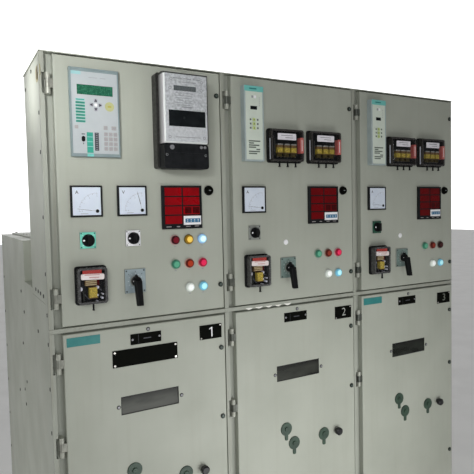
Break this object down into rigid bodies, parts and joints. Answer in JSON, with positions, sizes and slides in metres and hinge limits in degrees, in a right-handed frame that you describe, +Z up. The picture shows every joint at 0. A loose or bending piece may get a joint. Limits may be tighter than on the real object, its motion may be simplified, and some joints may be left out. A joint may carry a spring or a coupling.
{
  "type": "vacuum switchgear panel",
  "caption": "Indoor vacuum switchgear board of bolted cubicles, each with an instrument door over a windowed breaker door, relays, meters, lamps and rotary switches",
  "frame": {"origin": "Middle of the footprint at floor level: centre of the bounding box in x and y, underside of the base channels in z", "axes": "+X to the right along the line-up seen from the front, -Y out of the doors, +Z up"},
  "size_m": [1.8, 1.486, 2.1],
  "materials": {
    "panel_paint": "satin",
    "base_paint": "satin",
    "galvanised": "satin",
    "truck_paint": "satin",
    "hinge_metal": "satin",
    "fitting_metal": "satin",
    "relay_case": "satin",
    "meter_case": "satin",
    "relay_cover": "gloss",
    "energy_meter_body": "satin",
    "energy_meter_cover": "satin",
    "lamp_lens": "gloss",
    "switch_plate": "satin",
    "knob": "satin",
    "door_cover": "satin",
    "window_pane": "gloss"
  },
  "bodies": {
    "board": {"front_posts": "panel_paint", "rear_posts": "panel_paint", "front_rails": "panel_paint", "trim_strips": "panel_paint", "end_walls": "panel_paint", "partitions": "panel_paint", "hv_roofs": "panel_paint", "busbar_fronts": "panel_paint", "rear_covers": "panel_paint", "lv_back_plates": "panel_paint", "lv_floors_and_roofs": "panel_paint", "base_rails": "base_paint", "base_cross_rails": "base_paint", "floor_plates": "galvanised", "shutter_plates": "galvanised", "breaker_trucks": "truck_paint", "hinge_posts": "hinge_metal"},
    "lv_door_1": {"lv_door_1": "panel_paint", "lv_door_fittings_1": "fitting_metal", "protection_relay_1": "relay_case", "panel_meters_1": "meter_case", "trip_relays_1": "relay_cover", "lamps_1": "lamp_lens", "switch_bodies_1": "switch_plate", "energy_meter_1": "energy_meter_body", "energy_meter_cover_1": "energy_meter_cover"},
    "hv_door_1": {"hv_door_1": "panel_paint", "hv_window_1": "window_pane", "hv_door_fittings_1": "fitting_metal", "hv_door_covers_1": "door_cover"},
    "control_handle_1": {"control_handle_1": "knob"},
    "selector_knob_1a": {"selector_knob_1a": "knob"},
    "selector_knob_1b": {"selector_knob_1b": "knob"},
    "lv_door_2": {"lv_door_2": "panel_paint", "lv_door_fittings_2": "fitting_metal", "protection_relay_2": "relay_case", "panel_meters_2": "meter_case", "trip_relays_2": "relay_cover", "lamps_2": "lamp_lens", "switch_bodies_2": "switch_plate"},
    "hv_door_2": {"hv_door_2": "panel_paint", "hv_window_2": "window_pane", "hv_door_fittings_2": "fitting_metal", "hv_door_covers_2": "door_cover"},
    "control_handle_2": {"control_handle_2": "knob"},
    "selector_knob_2a": {"selector_knob_2a": "knob"},
    "lv_door_3": {"lv_door_3": "panel_paint", "lv_door_fittings_3": "fitting_metal", "protection_relay_3": "relay_case", "panel_meters_3": "meter_case", "trip_relays_3": "relay_cover", "lamps_3": "lamp_lens", "switch_bodies_3": "switch_plate"},
    "hv_door_3": {"hv_door_3": "panel_paint", "hv_window_3": "window_pane", "hv_door_fittings_3": "fitting_metal", "hv_door_covers_3": "door_cover"},
    "control_handle_3": {"control_handle_3": "knob"},
    "selector_knob_3a": {"selector_knob_3a": "knob"}
  },
  "joints": [
    {"name": "lv_door_1_hinge", "type": "hinge", "parent": "board", "child": "lv_door_1", "pos_m": [-0.876, -0.65, 1.6835], "axis": [0, 0, -1], "range_deg": [0, 110]},
    {"name": "hv_door_1_hinge", "type": "hinge", "parent": "board", "child": "hv_door_1", "pos_m": [-0.876, -0.65, 0.679], "axis": [0, 0, -1], "range_deg": [0, 110]},
    {"name": "control_handle_1_turn", "type": "hinge", "parent": "lv_door_1", "child": "control_handle_1", "pos_m": [-0.631, -0.677, 1.3985], "axis": [0, 1, 0], "range_deg": [-45, 45], "stiffness_Nm_per_rad": 0.4},
    {"name": "selector_knob_1a_turn", "type": "hinge", "parent": "lv_door_1", "child": "selector_knob_1a", "pos_m": [-0.777, -0.667, 1.536], "axis": [0, 1, 0], "range_deg": [0, 270]},
    {"name": "selector_knob_1b_turn", "type": "hinge", "parent": "lv_door_1", "child": "selector_knob_1b", "pos_m": [-0.6335, -0.667, 1.5365], "axis": [0, 1, 0], "range_deg": [0, 270]},
    {"name": "lv_door_2_hinge", "type": "hinge", "parent": "board", "child": "lv_door_2", "pos_m": [-0.276, -0.65, 1.6835], "axis": [0, 0, -1], "range_deg": [0, 110]},
    {"name": "hv_door_2_hinge", "type": "hinge", "parent": "board", "child": "hv_door_2", "pos_m": [-0.276, -0.65, 0.679], "axis": [0, 0, -1], "range_deg": [0, 110]},
    {"name": "control_handle_2_turn", "type": "hinge", "parent": "lv_door_2", "child": "control_handle_2", "pos_m": [-0.031, -0.677, 1.3985], "axis": [0, 1, 0], "range_deg": [-45, 45], "stiffness_Nm_per_rad": 0.4},
    {"name": "selector_knob_2a_turn", "type": "hinge", "parent": "lv_door_2", "child": "selector_knob_2a", "pos_m": [-0.177, -0.667, 1.536], "axis": [0, 1, 0], "range_deg": [0, 270]},
    {"name": "lv_door_3_hinge", "type": "hinge", "parent": "board", "child": "lv_door_3", "pos_m": [0.324, -0.65, 1.6835], "axis": [0, 0, -1], "range_deg": [0, 110]},
    {"name": "hv_door_3_hinge", "type": "hinge", "parent": "board", "child": "hv_door_3", "pos_m": [0.324, -0.65, 0.679], "axis": [0, 0, -1], "range_deg": [0, 110]},
    {"name": "control_handle_3_turn", "type": "hinge", "parent": "lv_door_3", "child": "control_handle_3", "pos_m": [0.569, -0.677, 1.3985], "axis": [0, 1, 0], "range_deg": [-45, 45], "stiffness_Nm_per_rad": 0.4},
    {"name": "selector_knob_3a_turn", "type": "hinge", "parent": "lv_door_3", "child": "selector_knob_3a", "pos_m": [0.423, -0.667, 1.536], "axis": [0, 1, 0], "range_deg": [0, 270]}
  ]
}
